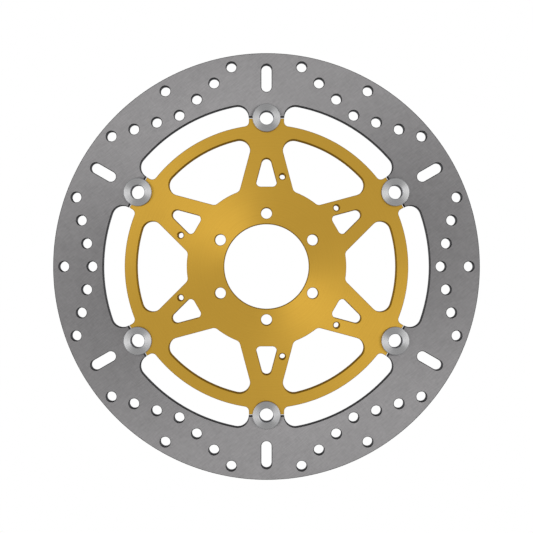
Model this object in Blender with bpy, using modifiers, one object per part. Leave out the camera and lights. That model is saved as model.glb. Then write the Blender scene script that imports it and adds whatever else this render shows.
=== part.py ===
"""Floating front brake disc for a motorcycle.

A steel friction ring is carried by a gold anodised aluminium carrier. Six hollow bobbins sit in half-moon
seats, half in the ring and half in the carrier, and pass the braking load between them. Behind each bobbin a
wave washer presses the ring towards the bobbin's flange, backed by a flat washer and held by a circlip.

The disc stands upright. Its axis lies along Y and its outer face looks towards -Y. The origin is the
centre of the bore, in the plane where the back of the carrier meets the wheel hub. Every piece is drawn in
the disc's own frame, flat in XY with its outer face towards +Z, under one empty that turns it upright.
"""

from math import asin, atan2, cos, pi, radians, sin, sqrt, tan

import bmesh
import bpy

# Main sizes, in metres.
DISC_DIAMETER = 0.320
RING_THICKNESS = 0.005
CARRIER_THICKNESS = 0.007
FRONT_FACE = CARRIER_THICKNESS  # ring and carrier are flush in front
RING_BACK = FRONT_FACE - RING_THICKNESS
CLEARANCE = 0.0003  # between pieces that touch
SECTORS = 6
SECTOR = 2 * pi / SECTORS

# Bobbins and their half-moon seats.
BOBBIN_CIRCLE_RADIUS = 0.1113
BARREL_RADIUS = 0.0075
SEAT_RADIUS = BARREL_RADIUS + CLEARANCE
BOBBIN_BORE_RADIUS = 0.0052
BOBBIN_BORE_CHAMFER = 0.0005
FLANGE_RADIUS = 0.0105
FLANGE_THICKNESS = 0.0015
FLANGE_CHAMFER = 0.0003
TAIL_LENGTH = 0.0006  # barrel left behind the circlip's groove
TAIL_CHAMFER = 0.0003
TAIL_BORE_RADIUS = 0.0061  # the bore is wider from the back
TAIL_BORE_DEPTH = 0.0042

# The stack behind each bobbin.
WASHER_BORE_RADIUS = 0.0078
WASHER_RADIUS = 0.01025
WAVE_SHEET = 0.0003
WAVE_HEIGHT = 0.0006
WAVE_COUNT = 3
FLAT_WASHER_THICKNESS = 0.0006
CIRCLIP_THICKNESS = 0.0008
GROOVE_RADIUS = 0.0068
CIRCLIP_BORE_RADIUS = GROOVE_RADIUS + CLEARANCE
CIRCLIP_RADIUS = 0.0089
CIRCLIP_GAP_HALF_WIDTH = 0.0016
CIRCLIP_EAR_RADIUS = 0.0018
CIRCLIP_EAR_HOLE_RADIUS = 0.0008
CIRCLIP_EAR_CIRCLE_RADIUS = 0.0093

# Friction ring.
RING_INNER_RADIUS = 0.1226
EAR_HALF_WIDTH = 0.0134
EAR_END = 0.1122  # distance of the ear's straight end from the disc's axis
EAR_FILLET = 0.00825
VENT_HOLE_RADIUS = 0.0038
VENT_INNER_RADIUS = 0.1307  # the apex of each V of holes
VENT_OUTER_RADIUS = 0.1518
VENT_HALF_SPREAD = radians(20)
VENT_STEPS = 3  # holes in each leg of the V, after the one at its apex
SLOT_WIDTH = 0.0077
SLOT_INNER_END = 0.131
SLOT_OUTER_END = 0.1516

# Carrier.
BORE_RADIUS = 0.032
BOLT_CIRCLE_RADIUS = 0.040
BOLT_HOLE_RADIUS = 0.00415
TAPPED_CIRCLE_RADIUS = 0.0684
TAPPED_HOLE_RADIUS = 0.0021
TAPPED_HOLE_OFFSET = radians(20)  # to each side of every second window
RIM_OUTER_RADIUS = 0.1063
RIM_INNER_RADIUS = 0.0976
HUB_RADIUS = 0.0598
SPOKE_TAPER = radians(15)  # slope of a spoke's flank to the spoke's own axis
FLANK_DISTANCE = 0.03425  # from the disc's axis to the line of a flank
WINDOW_RIM_FILLET = 0.008
WINDOW_HUB_FILLET = 0.00425
LUG_HALF_WIDTH = 0.0132
LUG_END = 0.111
LUG_FILLET = 0.0036
EYE_BOTTOM = 0.0599  # the opening inside each spoke
EYE_WALL_DISTANCE = 0.02382  # from the disc's axis to the line of its side
EYE_TOP_RADIUS = 0.00375
EYE_CORNER_RADIUS = 0.0032
LUG_STEP_RADIUS = 0.1075  # outside this the back is turned down to the ring's thickness
SPOT_FACE_RADIUS = 0.01125

# Fineness of the faceted shapes.
TURNED_STEPS = 24
WAVE_STEPS = 36
HOLE_STEPS = 16
SLOT_END_STEPS = 6
EAR_HOLE_STEPS = 8
BORE_STEPS = 60
RIM_STEPS_PER_SECTOR = 20

STEEL = ("ground_stainless_steel", (0.26, 0.26, 0.27), 0.34)
GOLD = ("gold_anodised_aluminium", (0.54, 0.29, 0.036), 0.30)
BOBBIN_FINISH = ("turned_aluminium", (0.42, 0.42, 0.44), 0.28)
SPRING_STEEL = ("spring_steel", (0.20, 0.19, 0.18), 0.38)
ZINC = ("zinc_plated_steel", (0.48, 0.49, 0.50), 0.36)


def clear_scene():
    for obj in list(bpy.data.objects):
        bpy.data.objects.remove(obj, do_unlink=True)


def new_collection(name):
    made = bpy.data.collections.new(name)
    bpy.context.scene.collection.children.link(made)
    return made


def material(name, colour, roughness):
    """A plain metal, made once and shared by every piece of that finish."""
    made = bpy.data.materials.get(name)
    if made:
        return made
    made = bpy.data.materials.new(name)
    made.use_nodes = True
    shader = made.node_tree.nodes["Principled BSDF"]
    shader.inputs["Base Color"].default_value = (*colour, 1)
    shader.inputs["Roughness"].default_value = roughness
    shader.inputs["Metallic"].default_value = 1.0
    made.diffuse_color = (*colour, 1)
    return made


# Outlines ---------------------------------------------------------------------------------------------------


def arc(centre, radius, start, end, steps):
    """Points along an arc, both ends included."""
    turn = (end - start) / steps
    return [
        (centre[0] + radius * cos(start + turn * i), centre[1] + radius * sin(start + turn * i))
        for i in range(steps + 1)
    ]


def circle(centre, radius, steps):
    return arc(centre, radius, 0, 2 * pi, steps)[:-1]


def polar(radius, angle):
    return radius * cos(angle), radius * sin(angle)


def turned(points, angle):
    c, s = cos(angle), sin(angle)
    return [(x * c - y * s, x * s + y * c) for x, y in points]


def mirrored(points):
    return [(-x, y) for x, y in reversed(points)]


def all_round(half):
    """A closed outline from the half of one sector, whose bobbin is on +Y and whose first point is on the
    edge of the sector. The halves meet on the sectors' edges and on the bobbins' axes."""
    sector = half + mirrored(half)[1:-1]
    return [p for k in range(SECTORS) for p in turned(sector, k * SECTOR)]


def flank_circle(flank_distance, to_circle, to_centre):
    """Centre of an arc at to_circle from a flank line and at to_centre from the disc's axis."""
    normal = (cos(SPOKE_TAPER), sin(SPOKE_TAPER))
    along = (-sin(SPOKE_TAPER), cos(SPOKE_TAPER))
    out = flank_distance + to_circle
    run = sqrt(to_centre**2 - out**2)
    return out * normal[0] + run * along[0], out * normal[1] + run * along[1]


def ring_inner_edge():
    """The ring's inner edge: a long arc, a fillet down to an ear, the ear's end and its half-moon seat."""
    x = EAR_HALF_WIDTH + EAR_FILLET
    fillet = (x, sqrt((RING_INNER_RADIUS - EAR_FILLET) ** 2 - x**2))
    meets = atan2(fillet[1], fillet[0])
    ear_corner = pi - asin((EAR_END - fillet[1]) / EAR_FILLET)
    seat = (0, BOBBIN_CIRCLE_RADIUS)
    seat_edge = asin((EAR_END - BOBBIN_CIRCLE_RADIUS) / SEAT_RADIUS)
    half = arc((0, 0), RING_INNER_RADIUS, pi / 3, meets, 5)
    half += arc(fillet, EAR_FILLET, meets, ear_corner, 5)[1:]
    half += arc(seat, SEAT_RADIUS, seat_edge, pi / 2, 5)
    return all_round(half)


def carrier_outer_edge():
    """The rim, and a lug at each bobbin with the other half of the seat."""
    x = LUG_HALF_WIDTH + LUG_FILLET
    fillet = (x, sqrt((RIM_OUTER_RADIUS + LUG_FILLET) ** 2 - x**2))
    meets = atan2(fillet[1], fillet[0])
    seat = (0, BOBBIN_CIRCLE_RADIUS)
    seat_edge = asin((LUG_END - BOBBIN_CIRCLE_RADIUS) / SEAT_RADIUS)
    half = arc((0, 0), RIM_OUTER_RADIUS, pi / 3, meets, 5)
    half += arc(fillet, LUG_FILLET, meets + pi, pi, 3)[1:]
    half.append((LUG_HALF_WIDTH, LUG_END))
    half += arc(seat, SEAT_RADIUS, seat_edge, -pi / 2, 5)
    return all_round(half)


def window():
    """A large opening between two spokes, here the one half a sector clockwise of +Y."""
    rim = flank_circle(FLANK_DISTANCE, WINDOW_RIM_FILLET, RIM_INNER_RADIUS - WINDOW_RIM_FILLET)
    hub = flank_circle(FLANK_DISTANCE, WINDOW_HUB_FILLET, HUB_RADIUS + WINDOW_HUB_FILLET)
    rim_meets = atan2(rim[1], rim[0])
    hub_meets = atan2(hub[1], hub[0])
    flank = pi + SPOKE_TAPER
    half = arc((0, 0), RIM_INNER_RADIUS, pi / 3, rim_meets, 5)
    half += arc(rim, WINDOW_RIM_FILLET, rim_meets, flank, 5)[1:]
    half += arc(hub, WINDOW_HUB_FILLET, flank, hub_meets + pi, 3)
    half += arc((0, 0), HUB_RADIUS, hub_meets, pi / 3, 2)[1:]
    upright = turned(half, SECTOR / 2)
    return turned(upright + mirrored(upright)[1:-1], -SECTOR / 2)


def eye():
    """The small rounded opening inside the spoke on +Y."""
    top = (0, (EYE_WALL_DISTANCE - EYE_TOP_RADIUS) / sin(SPOKE_TAPER))
    corner_y = EYE_BOTTOM + EYE_CORNER_RADIUS
    corner_x = (EYE_WALL_DISTANCE - EYE_CORNER_RADIUS) / cos(SPOKE_TAPER) - corner_y * tan(SPOKE_TAPER)
    half = arc(top, EYE_TOP_RADIUS, pi / 2, SPOKE_TAPER, 4)
    half += arc((corner_x, corner_y), EYE_CORNER_RADIUS, SPOKE_TAPER, -pi / 2, 4)
    return half + mirrored(half)[:-1]


def slot():
    """A radial slot with round ends, on +Y."""
    radius = SLOT_WIDTH / 2
    outer_end = arc((0, SLOT_OUTER_END - radius), radius, 0, pi, SLOT_END_STEPS)
    inner_end = arc((0, SLOT_INNER_END + radius), radius, pi, 2 * pi, SLOT_END_STEPS)
    return outer_end + inner_end


def vent_holes():
    """The V of holes on a sector's edge, drawn about +Y: its apex, both legs and one hole between them."""
    apex = (0, VENT_INNER_RADIUS)
    tip = (VENT_OUTER_RADIUS * sin(VENT_HALF_SPREAD), VENT_OUTER_RADIUS * cos(VENT_HALF_SPREAD))
    centres = [apex, (0, VENT_OUTER_RADIUS)]
    for i in range(1, VENT_STEPS + 1):
        part = i / VENT_STEPS
        y = apex[1] + (tip[1] - apex[1]) * part
        centres += [(tip[0] * part, y), (-tip[0] * part, y)]
    return centres


def circlip_outline():
    """Half the edge of an open ring with an ear at its opening, which faces +Y, and the ear's centre."""
    ear_angle = asin((CIRCLIP_GAP_HALF_WIDTH + CIRCLIP_EAR_RADIUS) / CIRCLIP_EAR_CIRCLE_RADIUS)
    ear = polar(CIRCLIP_EAR_CIRCLE_RADIUS, pi / 2 - ear_angle)
    opening = asin(CIRCLIP_GAP_HALF_WIDTH / CIRCLIP_BORE_RADIUS)
    leaves_band = ear_angle + asin(CIRCLIP_EAR_RADIUS / CIRCLIP_RADIUS)
    half = arc((0, 0), CIRCLIP_BORE_RADIUS, -pi / 2, pi / 2 - opening, 8)
    half += arc(ear, CIRCLIP_EAR_RADIUS, pi, 0, 6)
    half += arc((0, 0), CIRCLIP_RADIUS, pi / 2 - leaves_band, -pi / 2, 8)
    return half, ear


# Solids -----------------------------------------------------------------------------------------------------


def place(obj, name, finish, parent, collection):
    obj.name = name
    obj.data.name = name
    obj.parent = parent
    obj.data.materials.clear()
    obj.data.materials.append(material(*finish))
    collection.objects.link(obj)
    return obj


def smooth_round(mesh):
    mesh.shade_smooth()
    mesh.set_sharp_from_angle(angle=radians(35))


def plate(outlines, bottom, top):
    """A mesh plate between two heights. The first outline is its edge and the others are holes through it."""
    curve = bpy.data.curves.new("outline", "CURVE")
    curve.dimensions = "2D"
    curve.fill_mode = "BOTH"
    curve.extrude = (top - bottom) / 2
    for outline in outlines:
        spline = curve.splines.new("POLY")
        spline.points.add(len(outline) - 1)
        for point, (x, y) in zip(spline.points, outline):
            point.co = (x, y, 0, 1)
        spline.use_cyclic_u = True
    drawn = bpy.data.objects.new("outline", curve)
    bpy.context.scene.collection.objects.link(drawn)
    graph = bpy.context.evaluated_depsgraph_get()
    mesh = bpy.data.meshes.new_from_object(drawn.evaluated_get(graph))
    bpy.data.objects.remove(drawn, do_unlink=True)
    shape = bmesh.new()
    shape.from_mesh(mesh)
    bmesh.ops.remove_doubles(shape, verts=shape.verts, dist=1e-6)
    bmesh.ops.recalc_face_normals(shape, faces=shape.faces)
    bmesh.ops.translate(shape, verts=shape.verts, vec=(0, 0, (top + bottom) / 2))
    shape.to_mesh(mesh)
    shape.free()
    smooth_round(mesh)
    return mesh


def turned_mesh(profile, steps):
    """A mesh that turns a closed profile of (radius, height) points about Z. Its outer side runs down."""
    mesh = bpy.data.meshes.new("profile")
    edges = [(i, (i + 1) % len(profile)) for i in range(len(profile))]
    mesh.from_pydata([(r, 0, z) for r, z in profile], edges, [])
    drawn = bpy.data.objects.new("profile", mesh)
    bpy.context.scene.collection.objects.link(drawn)
    screw = drawn.modifiers.new("turn", "SCREW")
    screw.steps = steps
    screw.render_steps = steps
    screw.use_merge_vertices = True
    screw.merge_threshold = 1e-5
    graph = bpy.context.evaluated_depsgraph_get()
    round_mesh = bpy.data.meshes.new_from_object(drawn.evaluated_get(graph))
    bpy.data.objects.remove(drawn, do_unlink=True)
    smooth_round(round_mesh)
    return round_mesh


def washer_profile(inner, outer, bottom, top):
    return [(outer, top), (outer, bottom), (inner, bottom), (inner, top)]


def make_ring(parent, collection):
    outlines = [circle((0, 0), DISC_DIAMETER / 2, SECTORS * RIM_STEPS_PER_SECTOR), ring_inner_edge()]
    for k in range(SECTORS):
        outlines.append(turned(slot(), k * SECTOR))
        for centre in vent_holes():
            outlines.append(turned(circle(centre, VENT_HOLE_RADIUS, HOLE_STEPS), (k + 0.5) * SECTOR))
    mesh = plate(outlines, RING_BACK, FRONT_FACE)
    place(bpy.data.objects.new("ring", mesh), "friction_ring", STEEL, parent, collection)


def back_cutters(parent, cutters):
    """The step on the backs of the lugs, and the spot-faces that the washers sit in."""
    below = -CARRIER_THICKNESS
    step_profile = washer_profile(LUG_STEP_RADIUS, DISC_DIAMETER / 2, below, RING_BACK)
    step = turned_mesh(step_profile, SECTORS * RIM_STEPS_PER_SECTOR)
    made = [bpy.data.objects.new("lug_step_cutter", step)]
    for k in range(SECTORS):
        shape = bmesh.new()
        bmesh.ops.create_cone(
            shape,
            cap_ends=True,
            segments=2 * TURNED_STEPS,
            radius1=SPOT_FACE_RADIUS,
            radius2=SPOT_FACE_RADIUS,
            depth=RING_BACK - below,
        )
        mesh = bpy.data.meshes.new("spot_face")
        shape.to_mesh(mesh)
        shape.free()
        spot = bpy.data.objects.new(f"spot_face_cutter_{k + 1}", mesh)
        spot.location = (*polar(BOBBIN_CIRCLE_RADIUS, pi / 2 - k * SECTOR), (RING_BACK + below) / 2)
        made.append(spot)
    for cutter in made:
        cutter.parent = parent
        cutter.hide_render = True
        cutter.display_type = "WIRE"
        cutters.objects.link(cutter)


def make_carrier(parent, collection, cutters):
    outlines = [carrier_outer_edge(), circle((0, 0), BORE_RADIUS, BORE_STEPS)]
    for k in range(SECTORS):
        outlines.append(turned(window(), k * SECTOR))
        outlines.append(turned(eye(), k * SECTOR))
        bolt = polar(BOLT_CIRCLE_RADIUS, pi / 2 + k * SECTOR)
        outlines.append(circle(bolt, BOLT_HOLE_RADIUS, HOLE_STEPS))
        # Every second window has a tapped hole to each side of it.
        side = TAPPED_HOLE_OFFSET if k % 2 else -TAPPED_HOLE_OFFSET
        middle = pi / 3 + 2 * pi / 3 * (k // 2)
        tapped = polar(TAPPED_CIRCLE_RADIUS, middle + side)
        outlines.append(circle(tapped, TAPPED_HOLE_RADIUS, HOLE_STEPS // 2))
    mesh = plate(outlines, 0, FRONT_FACE)
    carrier = place(bpy.data.objects.new("carrier", mesh), "carrier", GOLD, parent, collection)
    back_cutters(parent, cutters)
    cut = carrier.modifiers.new("turned_and_spot_faced_back", "BOOLEAN")
    cut.operation = "DIFFERENCE"
    cut.operand_type = "COLLECTION"
    cut.collection = cutters


def bobbin_profile(groove_top, groove_bottom):
    """Outer side from the flange's face down to the tail, then back up the bore."""
    face = FRONT_FACE + CLEARANCE + FLANGE_THICKNESS
    seat = FRONT_FACE + CLEARANCE
    tail = groove_bottom - TAIL_LENGTH
    return [
        (FLANGE_RADIUS - FLANGE_CHAMFER, face),
        (FLANGE_RADIUS, face - FLANGE_CHAMFER),
        (FLANGE_RADIUS, seat),
        (BARREL_RADIUS, seat),
        (BARREL_RADIUS, groove_top),
        (GROOVE_RADIUS, groove_top),
        (GROOVE_RADIUS, groove_bottom),
        (BARREL_RADIUS, groove_bottom),
        (BARREL_RADIUS, tail + TAIL_CHAMFER),
        (BARREL_RADIUS - TAIL_CHAMFER, tail),
        (TAIL_BORE_RADIUS, tail),
        (TAIL_BORE_RADIUS, tail + TAIL_BORE_DEPTH),
        (BOBBIN_BORE_RADIUS, tail + TAIL_BORE_DEPTH),
        (BOBBIN_BORE_RADIUS, face - BOBBIN_BORE_CHAMFER),
        (BOBBIN_BORE_RADIUS + BOBBIN_BORE_CHAMFER, face),
    ]


def wave_washer_mesh(bottom):
    """A washer turned flat, then bent into waves. Its lowest point is at bottom."""
    mesh = turned_mesh(washer_profile(WASHER_BORE_RADIUS, WASHER_RADIUS, 0, WAVE_SHEET), WAVE_STEPS)
    swing = (WAVE_HEIGHT - WAVE_SHEET) / 2
    for vertex in mesh.vertices:
        around = atan2(vertex.co.y, vertex.co.x)
        vertex.co.z += bottom + swing * (1 + cos(WAVE_COUNT * around))
    return mesh


def make_fastenings(parent, collection):
    """Each bobbin with the washers and the circlip behind it, on an empty at the bobbin's own axis."""
    wave_bottom = RING_BACK - CLEARANCE - WAVE_HEIGHT
    washer_top = wave_bottom - CLEARANCE
    washer_bottom = washer_top - FLAT_WASHER_THICKNESS
    clip_top = washer_bottom - CLEARANCE
    clip_bottom = clip_top - CIRCLIP_THICKNESS
    groove = (washer_bottom, clip_bottom - CLEARANCE)
    half, ear = circlip_outline()
    clip_outlines = [half + mirrored(half)[1:-1]]
    for side in (1, -1):
        clip_outlines.append(circle((side * ear[0], ear[1]), CIRCLIP_EAR_HOLE_RADIUS, EAR_HOLE_STEPS))
    flat_profile = washer_profile(WASHER_BORE_RADIUS, WASHER_RADIUS, washer_bottom, washer_top)
    pieces = {
        "bobbin": (turned_mesh(bobbin_profile(*groove), TURNED_STEPS), BOBBIN_FINISH),
        "wave_washer": (wave_washer_mesh(wave_bottom), SPRING_STEEL),
        "flat_washer": (turned_mesh(flat_profile, TURNED_STEPS), ZINC),
        "circlip": (plate(clip_outlines, clip_bottom, clip_top), SPRING_STEEL),
    }
    for number in range(1, SECTORS + 1):
        axis = bpy.data.objects.new(f"bobbin_axis_{number}", None)
        axis.location = (*polar(BOBBIN_CIRCLE_RADIUS, pi / 2 - (number - 1) * SECTOR), 0)
        axis.parent = parent
        collection.objects.link(axis)
        for name, (mesh, finish) in pieces.items():
            piece = bpy.data.objects.new(name, mesh.copy())
            place(piece, f"{name}_{number}", finish, axis, collection)


def main():
    clear_scene()
    disc = new_collection("floating_brake_disc")
    cutters = new_collection("cutters")
    upright = bpy.data.objects.new("disc_frame", None)
    upright.rotation_euler = (pi / 2, 0, 0)
    disc.objects.link(upright)
    make_ring(upright, disc)
    make_carrier(upright, disc, cutters)
    make_fastenings(upright, disc)


main()
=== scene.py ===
from math import asin, atan2, ceil, cos, hypot, pi, radians, sin, sqrt, tan

import bmesh
import bpy
from mathutils import Matrix, Vector


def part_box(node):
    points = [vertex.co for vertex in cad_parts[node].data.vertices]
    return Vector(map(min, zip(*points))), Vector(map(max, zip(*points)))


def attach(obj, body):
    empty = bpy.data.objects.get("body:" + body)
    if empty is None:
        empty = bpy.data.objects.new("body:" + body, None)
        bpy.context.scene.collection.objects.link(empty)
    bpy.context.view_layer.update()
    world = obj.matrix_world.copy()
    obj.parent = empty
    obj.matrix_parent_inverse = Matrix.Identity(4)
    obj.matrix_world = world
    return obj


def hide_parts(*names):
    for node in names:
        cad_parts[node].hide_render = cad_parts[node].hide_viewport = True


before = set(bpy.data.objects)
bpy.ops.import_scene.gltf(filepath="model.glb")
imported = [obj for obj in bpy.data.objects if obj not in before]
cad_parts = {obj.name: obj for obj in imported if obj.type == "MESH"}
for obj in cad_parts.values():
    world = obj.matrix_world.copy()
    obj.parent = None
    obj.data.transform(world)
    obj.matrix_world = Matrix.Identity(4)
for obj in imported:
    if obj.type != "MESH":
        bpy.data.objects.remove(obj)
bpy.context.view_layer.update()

# The disc is drawn flat, outer face up, then turned upright:
# local x is world x, local y is world z, and local z is world -y.
ringLow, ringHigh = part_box("friction_ring")
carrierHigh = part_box("carrier")[1]
bobbinLow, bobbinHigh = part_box("bobbin_1")
waveLow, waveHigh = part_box("wave_washer_1")
washerLow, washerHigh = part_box("flat_washer_1")
clipLow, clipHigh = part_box("circlip_1")
frontZ = -ringLow.y
ringBackZ = -ringHigh.y
hubBackZ = -carrierHigh.y
bobbinCircle = (bobbinLow.z + bobbinHigh.z) / 2
sectors = 6
sector = 2 * pi / sectors
upright = Matrix.Rotation(pi / 2, 4, "X")
seatRadius = 0.0078
barrelRadius = 0.0075
meshing = {"turn": radians(9), "chord": 0.0016, "weld": 2e-6, "sharp": radians(30)}
# how far a face's normal lies along the axis: above flat it gets the first finish, below wall the third
plateLeans = {"flat": 0.94, "wall": 0.3}
turnedLeans = {"flat": 0.98, "wall": 0.2}


def arc(centre, radius, start, end):
    turn = abs(end - start)
    steps = ceil(max(turn / meshing["turn"], turn * radius / meshing["chord"], 2))
    return [(centre[0] + radius * cos(start + (end - start) * i / steps),
             centre[1] + radius * sin(start + (end - start) * i / steps)) for i in range(steps + 1)]


def circle(centre, radius):
    return arc(centre, radius, 0, 2 * pi)[:-1]


def polar(radius, angle):
    return radius * cos(angle), radius * sin(angle)


def turned(points, angle):
    c, s = cos(angle), sin(angle)
    return [(x * c - y * s, x * s + y * c) for x, y in points]


def mirrored(points):
    return [(-x, y) for x, y in reversed(points)]


def allRound(half):
    whole = half + mirrored(half)[1:-1]
    return [p for k in range(sectors) for p in turned(whole, k * sector)]


def newObject(name, data):
    made = bpy.data.objects.new(name, data)
    bpy.context.scene.collection.objects.link(made)
    return made


def closedMesh(name, shape):
    bmesh.ops.recalc_face_normals(shape, faces=shape.faces)
    mesh = bpy.data.meshes.new(name)
    shape.to_mesh(mesh)
    shape.free()
    return mesh


def plate(name, outlines, bottom, top, chamfer):  # the first outline is the edge, the others are holes
    curve = bpy.data.curves.new(name, "CURVE")
    curve.dimensions = "2D"
    curve.fill_mode = "BOTH"
    curve.extrude = (top - bottom) / 2 - chamfer
    curve.bevel_depth = chamfer
    curve.bevel_resolution = 0
    curve.offset = -chamfer
    for outline in outlines:
        spline = curve.splines.new("POLY")
        spline.points.add(len(outline) - 1)
        for point, (x, y) in zip(spline.points, outline):
            point.co = (x, y, 0, 1)
        spline.use_cyclic_u = True
    drawn = newObject(name, curve)
    mesh = bpy.data.meshes.new_from_object(drawn.evaluated_get(bpy.context.evaluated_depsgraph_get()))
    bpy.data.objects.remove(drawn, do_unlink=True)
    shape = bmesh.new()
    shape.from_mesh(mesh)
    bmesh.ops.remove_doubles(shape, verts=shape.verts, dist=meshing["weld"])
    bmesh.ops.recalc_face_normals(shape, faces=shape.faces)
    bmesh.ops.translate(shape, verts=shape.verts, vec=(0, 0, (top + bottom) / 2))
    shape.to_mesh(mesh)
    shape.free()
    return mesh


def revolve(name, profile, steps, bend=None):  # a closed profile of (radius, height), round the local z axis
    shape = bmesh.new()
    rings = []
    for i in range(steps):
        angle = 2 * pi * i / steps
        lift = bend(angle) if bend else 0
        rings.append([shape.verts.new((*polar(r, angle), z + lift)) for r, z in profile])
    for here, after in zip(rings, rings[1:] + rings[:1]):
        for j in range(len(profile)):
            k = (j + 1) % len(profile)
            shape.faces.new((here[j], here[k], after[k], after[j]))
    return closedMesh(name, shape)


def rounded(corners, radius, steps=3):  # replaces each corner of a closed profile by an arc
    points = []
    longest = 0.45  # of a side, so that two arcs don't meet
    for i, here in enumerate(corners):
        at = Vector(here)
        a, b = Vector(corners[i - 1]) - at, Vector(corners[(i + 1) % len(corners)]) - at
        cut = min(radius, a.length * longest, b.length * longest)
        start, end = at + a.normalized() * cut, at + b.normalized() * cut
        for s in range(steps + 1):
            t = s / steps
            points.append(tuple((1 - t) ** 2 * start + 2 * t * (1 - t) * at + t * t * end))
    return points


def finishByNormal(mesh, materials, leans):  # slots: faces, edges, walls
    for material in materials:
        mesh.materials.append(material)
    for face in mesh.polygons:
        lean = abs(face.normal.z)
        face.material_index = 0 if lean > leans["flat"] else 2 if lean < leans["wall"] else 1


def addPiece(name, mesh, body, nodes, centre=(0, 0)):
    mesh.shade_smooth()
    mesh.set_sharp_from_angle(angle=meshing["sharp"])
    piece = newObject(name, mesh)
    piece.matrix_world = upright @ Matrix.Translation((centre[0], centre[1], 0))
    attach(piece, body)
    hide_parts(*nodes)


class Wire:
    def __init__(self, tree, socket=None):
        self.tree = tree
        self.socket = socket

    def node(self, kind, settings=None, sockets=None, out=0):
        made = self.tree.nodes.new(kind)
        for name, value in (settings or {}).items():
            setattr(made, name, value)
        for name, value in (sockets or {}).items():
            if isinstance(value, Wire):
                self.tree.links.new(value.socket, made.inputs[name])
            else:
                made.inputs[name].default_value = value
        return Wire(self.tree, made.outputs[out] if made.outputs else None)

    def maths(self, operation, *values):
        return self.node("ShaderNodeMath", {"operation": operation}, dict(enumerate(values)))

    def __add__(self, other):
        return self.maths("ADD", self, other)

    def __radd__(self, other):
        return self.maths("ADD", other, self)

    def __sub__(self, other):
        return self.maths("SUBTRACT", self, other)

    def __rsub__(self, other):
        return self.maths("SUBTRACT", other, self)

    def __mul__(self, other):
        return self.maths("MULTIPLY", self, other)

    def __rmul__(self, other):
        return self.maths("MULTIPLY", other, self)

    def __truediv__(self, other):
        return self.maths("DIVIDE", self, other)

    def __rtruediv__(self, other):
        return self.maths("DIVIDE", other, self)


def metal(name, look):  # a new material: its wire and its shader, with everything constant already set
    material = bpy.data.materials.new(name)
    material.use_nodes = True
    shader = material.node_tree.nodes["Principled BSDF"]
    constants = {"Metallic": 1.0, "Roughness": look["roughness"], "Base Color": (*look["colour"], 1),
                 "Anisotropic": look.get("anisotropic", 0), "Anisotropic Rotation": look.get("grain", 0),
                 "Specular Tint": (*look.get("glance", (1, 1, 1)), 1)}
    for socket, value in constants.items():
        shader.inputs[socket].default_value = value
    return material, Wire(material.node_tree), shader


def noise(wire, vector, scale, detail, roughness=0.5):
    return wire.node("ShaderNodeTexNoise", {},
                     {"Vector": vector, "Scale": scale, "Detail": detail, "Roughness": roughness})


def stretched(wire, vector, factors):
    return wire.node("ShaderNodeVectorMath", {"operation": "MULTIPLY"}, {0: vector, 1: factors})


def turningRings(wire, radius, pitch, detail):  # noise that changes with the distance from the axis only
    return wire.node("ShaderNodeTexNoise", {"noise_dimensions": "1D"},
                     {"W": radius / pitch, "Scale": 1.0, "Detail": detail})


def scratches(wire, place, angle, look):  # noise drawn out along one direction
    along = wire.node("ShaderNodeVectorRotate", {"rotation_type": "Z_AXIS"},
                      {"Vector": place, "Angle": -angle})
    scaled = stretched(wire, along, (1 / look["length"], 1 / look["width"], look["through"]))
    return noise(wire, scaled, 1.0, 2, look["rasp"])


def fromAxis(wire, place):  # distance from the piece's own axis
    flat = stretched(wire, place, (1, 1, 0))
    return wire.node("ShaderNodeVectorMath", {"operation": "LENGTH"}, {0: flat}, out="Value")


def around(mark, amount):  # a swing to both sides of nought, from a mark between 0 and 1
    return (mark - 0.5) * amount


def finish(shader, look, shade, roughness, height):  # what changes over a metal's surface
    made = height.node
    colour = made("ShaderNodeVectorMath", {"operation": "SCALE"}, {0: look["colour"], "Scale": shade})
    normal = made("ShaderNodeBump", {}, {"Height": height, "Distance": look["depth"]}, out="Normal")
    for socket, wire in (("Base Color", colour), ("Roughness", roughness), ("Normal", normal)):
        wire.tree.links.new(wire.socket, shader.inputs[socket])


groundLook = {"colour": (0.464, 0.454, 0.459), "roughness": 0.66, "anisotropic": 0.80, "grain": 0.982,
              "hatch": (radians(38), radians(-47)), "length": 0.006, "width": 0.0008, "through": 300,
              "rasp": 0.6, "cloud": 90, "shares": (0.5, 0.3, 0.2), "shade": 0.9, "swing": 0.12,
              "depth": 1.0e-5}


def makeGroundSteel():
    look = groundLook
    material, wire, shader = metal("groundSteel", look)
    place = wire.node("ShaderNodeTexCoord", out="Object")
    one, two = [scratches(wire, place, angle, look) for angle in look["hatch"]]
    first, second, rest = look["shares"]
    hatch = one * first + two * second + noise(wire, place, look["cloud"], 2) * rest
    roughness = look["roughness"] + around(hatch, look["swing"])
    finish(shader, look, 1 + around(hatch, look["shade"]), roughness, hatch)
    return material


goldLook = {"colour": (0.99, 0.585, 0.081), "roughness": 0.36, "anisotropic": 0.70, "grain": 141 / 360,
            "pitch": 0.0007, "cloud": 60, "shares": (0.7, 0.3), "shade": 0.16, "swing": 0.06, "depth": 4e-6,
            "finer": (0.045, 0.1, 0.06)}


def makeTurnedGold():
    look = goldLook
    material, wire, shader = metal("turnedGold", look)
    place = wire.node("ShaderNodeTexCoord", out="Object")
    radius = fromAxis(wire, place)
    rings = turningRings(wire, radius, look["pitch"], 3)
    first, rest = look["shares"]
    mark = rings * first + noise(wire, place, look["cloud"], 2) * rest
    start, end, drop = look["finer"]  # the turning is finer towards the rim
    outwards = wire.node("ShaderNodeMapRange", {}, {"Value": radius, "From Min": start, "From Max": end})
    roughness = look["roughness"] - outwards * drop + around(mark, look["swing"])
    finish(shader, look, 1 + around(mark, look["shade"]), roughness, rings)
    return material


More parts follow.
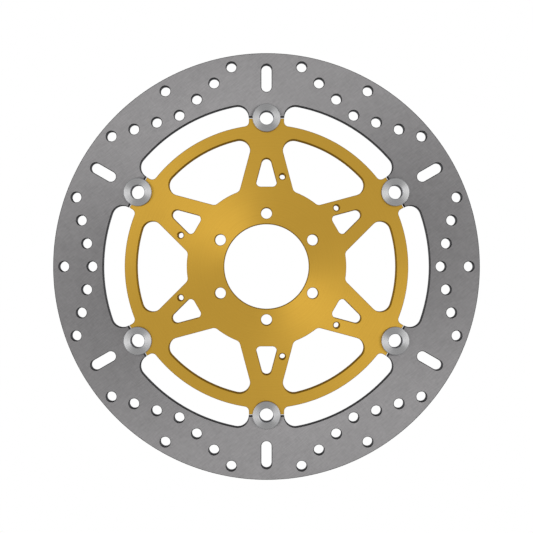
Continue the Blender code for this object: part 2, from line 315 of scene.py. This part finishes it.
bobbinLook = {"colour": (0.66, 0.66, 0.665), "roughness": 0.52, "anisotropic": 0.85, "grain": 0.25,
              "pitch": 0.0006, "shade": 0.30, "swing": 0.08, "depth": 6e-6}


def makeTurnedAlloy():
    look = bobbinLook
    material, wire, shader = metal("turnedAlloy", look)
    place = wire.node("ShaderNodeTexCoord", out="Object")
    rings = turningRings(wire, fromAxis(wire, place), look["pitch"], 2)
    roughness = look["roughness"] + around(rings, look["swing"])
    finish(shader, look, 1 + around(rings, look["shade"]), roughness, rings)
    return material


# chamfer and wall finishes: the steel, gold and alloy ones are darker copies of the face metals that paint
# the shade on walls and edges; springSteel and platedSteel are those parts' own colours
edgeLooks = {
    "steelChamferPaintedShade": {"colour": (0.065, 0.065, 0.068), "roughness": 0.42, "shade": 0.2,
                     "glance": (0.3, 0.3, 0.3)},
    "steelWallPaintedShade": {"colour": (0.17, 0.17, 0.175), "roughness": 0.42, "shade": 0.4,
                  "glance": (0.3, 0.3, 0.31)},
    "goldChamferPaintedShadeAndLight": {"colour": (0.47, 0.27, 0.028), "roughness": 0.42, "shade": 0.1,
                    "glance": (0.6, 0.5, 0.35), "paintedOutwardLight": 0.35},
    "goldWallPaintedShade": {"colour": (0.42, 0.235, 0.031), "roughness": 0.4, "shade": 0.24,
                 "glance": (0.45, 0.38, 0.26)},
    "alloyEdgePaintedShade": {"colour": (0.5, 0.505, 0.53), "roughness": 0.42, "shade": 0.12,
                  "glance": (0.8, 0.8, 0.8)},
    "alloyWallPaintedShade": {"colour": (0.2, 0.2, 0.205), "roughness": 0.45, "shade": 0.2,
                  "glance": (0.45, 0.45, 0.46)},
    "springSteel": {"colour": (0.24, 0.235, 0.23), "roughness": 0.36, "shade": 0.16},
    "platedSteel": {"colour": (0.46, 0.465, 0.47), "roughness": 0.33, "shade": 0.1},
}
cutterLines = {"scale": 2600, "through": 0.12, "swing": 0.10, "depth": 4e-6}


def makeEdgeMetal(name):  # walls and edges: fine cutter lines across the thickness; most of these colours are darker copies of the face metals, painted shade
    look = {**edgeLooks[name], **cutterLines}
    material, wire, shader = metal(name, look)
    place = wire.node("ShaderNodeTexCoord", out="Object")
    lines = noise(wire, stretched(wire, place, (1, 1, look["through"])), look["scale"], 3)
    shade = 1 + around(lines, look["shade"])
    if "paintedOutwardLight" in look:  # painted light and shade: edges that face away from the disc's axis are painted lighter, those that face it darker
        out = wire.node("ShaderNodeVectorMath", {"operation": "NORMALIZE"}, {0: place})
        normal = wire.node("ShaderNodeTexCoord", out="Normal")
        paintedLightByFacing = wire.node("ShaderNodeVectorMath", {"operation": "DOT_PRODUCT"}, {0: normal, 1: out},
                           out="Value")
        shade = shade + paintedLightByFacing * look["paintedOutwardLight"]
    finish(shader, look, shade, look["roughness"] + around(lines, look["swing"]), lines)
    return material


ringSizes = {"innerRadius": 0.1226, "earHalfWidth": 0.0134, "earEnd": 0.1122, "earFillet": 0.00825,
             "holeRadius": 0.0038, "ventInner": 0.1307, "ventOuter": 0.1518, "ventSpread": radians(20),
             "ventSteps": 3, "slotWidth": 0.0077, "slotInner": 0.131, "slotOuter": 0.1516, "chamfer": 0.0005}


def ringOutlines():
    s = ringSizes
    x = s["earHalfWidth"] + s["earFillet"]
    fillet = (x, sqrt((s["innerRadius"] - s["earFillet"]) ** 2 - x * x))
    meets = atan2(fillet[1], fillet[0])
    half = arc((0, 0), s["innerRadius"], pi / 3, meets)
    half += arc(fillet, s["earFillet"], meets, pi - asin((s["earEnd"] - fillet[1]) / s["earFillet"]))[1:]
    half += arc((0, bobbinCircle), seatRadius, asin((s["earEnd"] - bobbinCircle) / seatRadius), pi / 2)
    outlines = [circle((0, 0), ringHigh.x), allRound(half)]
    tip = (s["ventOuter"] * sin(s["ventSpread"]), s["ventOuter"] * cos(s["ventSpread"]))
    vents = [(0, s["ventInner"]), (0, s["ventOuter"])]
    for i in range(1, s["ventSteps"] + 1):
        y = s["ventInner"] + (tip[1] - s["ventInner"]) * i / s["ventSteps"]
        vents += [(side * tip[0] * i / s["ventSteps"], y) for side in (1, -1)]
    end = s["slotWidth"] / 2
    slot = arc((0, s["slotOuter"] - end), end, 0, pi) + arc((0, s["slotInner"] + end), end, pi, 2 * pi)
    for k in range(sectors):
        outlines.append(turned(slot, k * sector))
        outlines += [turned(circle(vent, s["holeRadius"]), (k + 0.5) * sector) for vent in vents]
    return outlines


def makeRing(materials):
    mesh = plate("frictionRing", ringOutlines(), ringBackZ, frontZ, ringSizes["chamfer"])
    finishByNormal(mesh, materials, plateLeans)
    addPiece("frictionRing", mesh, "friction_ring", ["friction_ring"])
    print("friction ring:", len(mesh.polygons), "faces")


carrierSizes = {"rimOuter": 0.1063, "rimInner": 0.0976, "rimFillet": 0.008, "hubRadius": 0.0598,
                "hubFillet": 0.00425, "taper": radians(15), "flank": 0.03425, "lugHalfWidth": 0.0132,
                "lugEnd": 0.111, "lugFillet": 0.0036, "bore": 0.032, "boltCircle": 0.040,
                "boltRadius": 0.00415, "tapCircle": 0.0685, "tapRadius": 0.00205, "tapOffset": radians(20),
                "eyeBottom": 0.0599, "eyeWall": 0.02382, "eyeTop": 0.00375, "eyeCorner": 0.0032,
                "chamfer": 0.00035, "lugStep": 0.1075, "spotRadius": 0.01125, "threaded": 0.0027,
                "threadReach": 1.4}
lathe = {"below": 0.004, "beyond": 0.13, "core": 0.0001, "stepSides": 360, "spotSides": 96}


# the centre of an arc that far from a spoke's flank and from the disc's axis
def flankCircle(toCircle, toCentre):
    a = carrierSizes["taper"]
    out = carrierSizes["flank"] + toCircle
    run = sqrt(toCentre ** 2 - out ** 2)
    return out * cos(a) - run * sin(a), out * sin(a) + run * cos(a)


def carrierOutlines():
    s = carrierSizes
    a = s["taper"]
    x = s["lugHalfWidth"] + s["lugFillet"]
    fillet = (x, sqrt((s["rimOuter"] + s["lugFillet"]) ** 2 - x * x))
    meets = atan2(fillet[1], fillet[0])
    edge = arc((0, 0), s["rimOuter"], pi / 3, meets) + arc(fillet, s["lugFillet"], meets + pi, pi)[1:]
    edge.append((s["lugHalfWidth"], s["lugEnd"]))
    edge += arc((0, bobbinCircle), seatRadius, asin((s["lugEnd"] - bobbinCircle) / seatRadius), -pi / 2)
    rim = flankCircle(s["rimFillet"], s["rimInner"] - s["rimFillet"])
    hub = flankCircle(s["hubFillet"], s["hubRadius"] + s["hubFillet"])
    window = arc((0, 0), s["rimInner"], pi / 3, atan2(rim[1], rim[0]))
    window += arc(rim, s["rimFillet"], atan2(rim[1], rim[0]), pi + a)[1:]
    window += arc(hub, s["hubFillet"], pi + a, atan2(hub[1], hub[0]) + pi)
    window += arc((0, 0), s["hubRadius"], atan2(hub[1], hub[0]), pi / 3)[1:]
    window = turned(window, sector / 2)
    window = turned(window + mirrored(window)[1:-1], -sector / 2)
    cornerY = s["eyeBottom"] + s["eyeCorner"]
    corner = ((s["eyeWall"] - s["eyeCorner"]) / cos(a) - cornerY * tan(a), cornerY)
    eye = arc((0, (s["eyeWall"] - s["eyeTop"]) / sin(a)), s["eyeTop"], pi / 2, a)
    eye += arc(corner, s["eyeCorner"], a, -pi / 2)
    eye += mirrored(eye)[:-1]
    outlines = [allRound(edge), circle((0, 0), s["bore"])]
    for k in range(sectors):
        outlines += [turned(window, k * sector), turned(eye, k * sector)]
        outlines.append(circle(polar(s["boltCircle"], pi / 2 + k * sector), s["boltRadius"]))
    outlines += [circle(centre, s["tapRadius"]) for centre in tapCentres()]
    return outlines


def tapCentres():  # every second window has a tapped hole to each side
    s = carrierSizes
    middles = [pi / 3 + 2 * pi / 3 * k for k in range(3)]
    return [polar(s["tapCircle"], middle + side * s["tapOffset"]) for middle in middles for side in (1, -1)]


def cutter(name, mesh, centre=(0, 0)):
    made = bpy.data.objects.new(name, mesh)
    made.location = (centre[0], centre[1], 0)
    return made


tapSizes = {"pitch": 0.0008, "core": 0.00203, "crest": 0.0025, "frontSink": 0.0028, "backSink": 0.0024,
            "steps": 28, "rowsPerTurn": 4, "overrun": 0.0015, "steepness": 2.6}


def tapMesh():  # a screw tap: its thread cuts outwards from the hole's wall, and it sinks both ends
    s = tapSizes
    steps = s["steps"]
    rows = int((frontZ - hubBackZ + 2 * s["overrun"]) / s["pitch"]) * s["rowsPerTurn"]
    bottom = hubBackZ - s["overrun"]
    shape = bmesh.new()
    grid = []
    for j in range(rows + 1):
        z = bottom + j * s["pitch"] / s["rowsPerTurn"]
        row = []
        for i in range(steps):
            phase = ((z - bottom) / s["pitch"] - i / steps) % 1
            r = s["core"] + (s["crest"] - s["core"]) * max(0, 1 - abs(phase - 0.5) * s["steepness"])
            r = max(r, s["frontSink"] - (frontZ - z), s["backSink"] - (z - hubBackZ))
            row.append(shape.verts.new((*polar(r, 2 * pi * i / steps), z)))
        grid.append(row)
    for low, high in zip(grid, grid[1:]):
        for i in range(steps):
            k = (i + 1) % steps
            shape.faces.new((low[i], low[k], high[k], high[i]))
    shape.faces.new(list(reversed(grid[0])))
    shape.faces.new(grid[-1])
    return closedMesh("tap", shape)


def makeCarrier(materials):
    s = carrierSizes
    work = newObject("carrierPlate", plate("carrierPlate", carrierOutlines(), hubBackZ, frontZ, s["chamfer"]))
    tools = bpy.data.collections.new("carrierTools")
    bpy.context.scene.collection.children.link(tools)
    below, beyond, core = hubBackZ - lathe["below"], lathe["beyond"], lathe["core"]
    step = [(s["lugStep"], below), (beyond, below), (beyond, ringBackZ), (s["lugStep"], ringBackZ)]
    spot = [(s["spotRadius"], below), (s["spotRadius"], ringBackZ), (core, ringBackZ), (core, below)]
    cutters = [cutter("lugStepTool", revolve("lugStep", step, lathe["stepSides"]))]
    for k in range(sectors):
        seat = polar(bobbinCircle, pi / 2 + k * sector)
        cutters.append(cutter(f"spotTool{k}", revolve("spot", spot, lathe["spotSides"]), seat))
    cutters += [cutter(f"tapTool{i}", tapMesh(), centre) for i, centre in enumerate(tapCentres())]
    for tool in cutters:
        tools.objects.link(tool)
    cut = work.modifiers.new("cuts", "BOOLEAN")
    cut.operand_type = "COLLECTION"
    cut.collection = tools
    final = bpy.data.meshes.new_from_object(work.evaluated_get(bpy.context.evaluated_depsgraph_get()))
    for tool in cutters + [work]:
        bpy.data.objects.remove(tool, do_unlink=True)
    bpy.data.collections.remove(tools)
    final.materials.clear()
    finishByNormal(final, materials, plateLeans)
    reach = s["tapRadius"] * s["threadReach"]
    for face in final.polygons:  # a thread's slopes are walls too, in the darker wall colour that paints the shade in the tapped holes
        middle = face.center
        inside = abs(middle.z - (frontZ + hubBackZ) / 2) < s["threaded"]
        near = any(hypot(middle.x - x, middle.y - y) < reach for x, y in tapCentres())
        if face.material_index == 1 and inside and near:
            face.material_index = 2
    addPiece("carrierPlate", final, "carrier", ["carrier"])
    print("carrier:", len(final.polygons), "faces")


bobbinSizes = {"flange": 0.0015, "flangeChamfer": 0.0003, "boreRadius": 0.0052, "boreChamfer": 0.0005,
               "grooveRadius": 0.0068, "grooveGap": 0.0003, "tailBore": 0.0061, "tailDepth": 0.0042,
               "tailChamfer": 0.0003, "edge": 0.00008, "edgeSteps": 2, "steps": 128}


def bobbinMesh():
    s = bobbinSizes
    face, tail = -bobbinLow.y, -bobbinHigh.y
    flange = (bobbinHigh.x - bobbinLow.x) / 2
    grooveTop, grooveBottom = -clipLow.y + s["grooveGap"], -clipHigh.y - s["grooveGap"]
    seat = face - s["flange"]
    bore, barrel = s["boreRadius"], barrelRadius
    step, end = tail + s["tailDepth"], tail + s["tailChamfer"]
    profile = [(flange - s["flangeChamfer"], face), (flange, face - s["flangeChamfer"]), (flange, seat),
               (barrel, seat), (barrel, grooveTop), (s["grooveRadius"], grooveTop),
               (s["grooveRadius"], grooveBottom), (barrel, grooveBottom), (barrel, end),
               (barrel - s["tailChamfer"], tail), (s["tailBore"], tail), (s["tailBore"], step),
               (bore, step), (bore, face - s["boreChamfer"]), (bore + s["boreChamfer"], face)]
    return revolve("bobbin", rounded(profile, s["edge"], s["edgeSteps"]), s["steps"])


washerSizes = {"bore": 0.0078, "edge": 0.00018, "sheet": 0.0003, "sheetEdge": 0.0001, "waves": 3,
               "steps": 120}


def washerMesh():
    s = washerSizes
    outer, bottom, top = (washerHigh.x - washerLow.x) / 2, -washerHigh.y, -washerLow.y
    profile = rounded([(outer, top), (outer, bottom), (s["bore"], bottom), (s["bore"], top)], s["edge"])
    return revolve("flatWasher", profile, s["steps"])


def waveMesh():
    s = washerSizes
    outer, bottom = (waveHigh.x - waveLow.x) / 2, -waveHigh.y
    swing = (waveHigh.y - waveLow.y - s["sheet"]) / 2
    corners = [(outer, s["sheet"]), (outer, 0), (s["bore"], 0), (s["bore"], s["sheet"])]
    return revolve("waveWasher", rounded(corners, s["sheetEdge"]), s["steps"],
                   lambda angle: bottom + swing * (1 + cos(s["waves"] * angle)))


clipSizes = {"bore": 0.0071, "outer": 0.0089, "gapHalf": 0.0016, "ear": 0.0018, "earHole": 0.0008,
             "earCircle": 0.0093, "chamfer": 0.0001}


def clipMesh():
    s = clipSizes
    earAngle = asin((s["gapHalf"] + s["ear"]) / s["earCircle"])
    ear = polar(s["earCircle"], pi / 2 - earAngle)
    half = arc((0, 0), s["bore"], -pi / 2, pi / 2 - asin(s["gapHalf"] / s["bore"]))
    half += arc(ear, s["ear"], pi, 0)
    half += arc((0, 0), s["outer"], pi / 2 - earAngle - asin(s["ear"] / s["outer"]), -pi / 2)
    outline = half + mirrored(half)[1:-1]
    holes = [circle((side * ear[0], ear[1]), s["earHole"]) for side in (1, -1)]
    return plate("circlip", [outline, *holes], -clipHigh.y, -clipLow.y, s["chamfer"])


def makeFastenings(materials):
    sources = {"bobbin": ("bobbin", bobbinMesh(), "turned_alloy", ("turnedAlloy", "alloyEdgePaintedShade", "alloyWallPaintedShade")),
               "waveWasher": ("wave_washer", waveMesh(), "spring_steel", ("springSteel",) * 3),
               "flatWasher": ("flat_washer", washerMesh(), "plated_steel", ("platedSteel",) * 3),
               "circlip": ("circlip", clipMesh(), "spring_steel", ("springSteel",) * 3)}
    for node, mesh, slot, finishes in sources.values():
        finishByNormal(mesh, [materials[look] for look in finishes], turnedLeans)
    for k in range(1, sectors + 1):
        low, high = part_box(f"bobbin_{k}")
        centre = ((low.x + high.x) / 2, (low.z + high.z) / 2)
        for name, (node, mesh, slot, finishes) in sources.items():
            addPiece(f"{name}{k}", mesh.copy(), f"bobbin_set_{k}", [f"{node}_{k}"], centre)
    print("bobbins, washers and circlips:", sectors, "sets")


studio = {"white": 1.0, "glossy": 0.46, "floorDrop": 0.95, "floorRadius": 1.6, "floorSides": 128,
          "paper": 0.94, "paperRoughness": 0.9, "cameraDistance": 0.520, "frameWidth": 0.3994, "sensor": 36.0}
softboxes = {"distance": 1.6, "side": 50, "tilt": 6, "width": 0.6, "height": 1.3, "power": 8.4,
             "backShare": 0.5}


def makeWorld():
    world = bpy.data.worlds.new("studio")
    world.use_nodes = True
    world.node_tree.nodes.clear()
    wire = Wire(world.node_tree)
    white, room = [wire.node("ShaderNodeBackground", {}, {"Color": (1, 1, 1, 1), "Strength": studio[level]})
                   for level in ("white", "glossy")]
    glossy = wire.node("ShaderNodeLightPath", out="Is Glossy Ray")
    both = wire.node("ShaderNodeMixShader", {}, {0: glossy, 1: white, 2: room})
    wire.node("ShaderNodeOutputWorld", {}, {"Surface": both})
    bpy.context.scene.world = world


def makeSoftbox(name, azimuth, elevation, share=1.0):
    data = bpy.data.lights.new(name, "AREA")
    data.shape = "RECTANGLE"
    data.size = softboxes["width"]
    data.size_y = softboxes["height"]
    data.energy = softboxes["power"] * share
    lamp = newObject(name, data)
    a, e = radians(azimuth), radians(elevation)
    out = Vector((sin(a) * cos(e), -cos(a) * cos(e), sin(e)))
    lamp.location = out * softboxes["distance"]
    lamp.rotation_euler = out.to_track_quat("Z", "Y").to_euler()
    lamp.visible_camera = False


def makeFloor():
    floor = bpy.data.meshes.new("studioFloor")
    shape = bmesh.new()
    bmesh.ops.create_circle(shape, cap_ends=True, segments=studio["floorSides"], radius=studio["floorRadius"])
    shape.to_mesh(floor)
    shape.free()
    paint = bpy.data.materials.new("palePaper")
    paint.use_nodes = True
    shader = paint.node_tree.nodes["Principled BSDF"]
    shader.inputs["Base Color"].default_value = (*[studio["paper"]] * 3, 1)
    shader.inputs["Roughness"].default_value = studio["paperRoughness"]
    floor.materials.append(paint)
    ground = newObject("studioFloor", floor)
    ground.location = (0, 0, -studio["floorDrop"])
    ground.visible_glossy = False  # so the floor doesn't light the metal from below more than from above


def makeCamera():
    eye = bpy.data.cameras.new("camera")
    eye.sensor_width = studio["sensor"]
    eye.lens = studio["sensor"] * studio["cameraDistance"] / studio["frameWidth"]
    eye.dof.use_dof = False
    camera = newObject("camera", eye)
    camera.location = (0, ringLow.y - studio["cameraDistance"], 0)
    camera.rotation_euler = (pi / 2, 0, 0)
    scene = bpy.context.scene
    scene.camera = camera
    scene.view_settings.view_transform = "Standard"
    scene.view_settings.look = "None"


def makeStudio():
    makeWorld()
    side, tilt = softboxes["side"], softboxes["tilt"]
    makeSoftbox("softboxRight", side, tilt)
    makeSoftbox("softboxLeft", -side, -tilt)
    makeSoftbox("softboxBackRight", 180 - side, tilt, softboxes["backShare"])
    makeSoftbox("softboxBackLeft", 180 + side, -tilt, softboxes["backShare"])
    makeFloor()
    makeCamera()
    print("studio ready")


materials = {name: makeEdgeMetal(name) for name in edgeLooks}
materials["groundSteel"] = makeGroundSteel()
materials["turnedGold"] = makeTurnedGold()
materials["turnedAlloy"] = makeTurnedAlloy()
makeRing([materials[name] for name in ("groundSteel", "steelChamferPaintedShade", "steelWallPaintedShade")])
makeCarrier([materials[name] for name in ("turnedGold", "goldChamferPaintedShadeAndLight", "goldWallPaintedShade")])
makeFastenings(materials)
makeStudio()
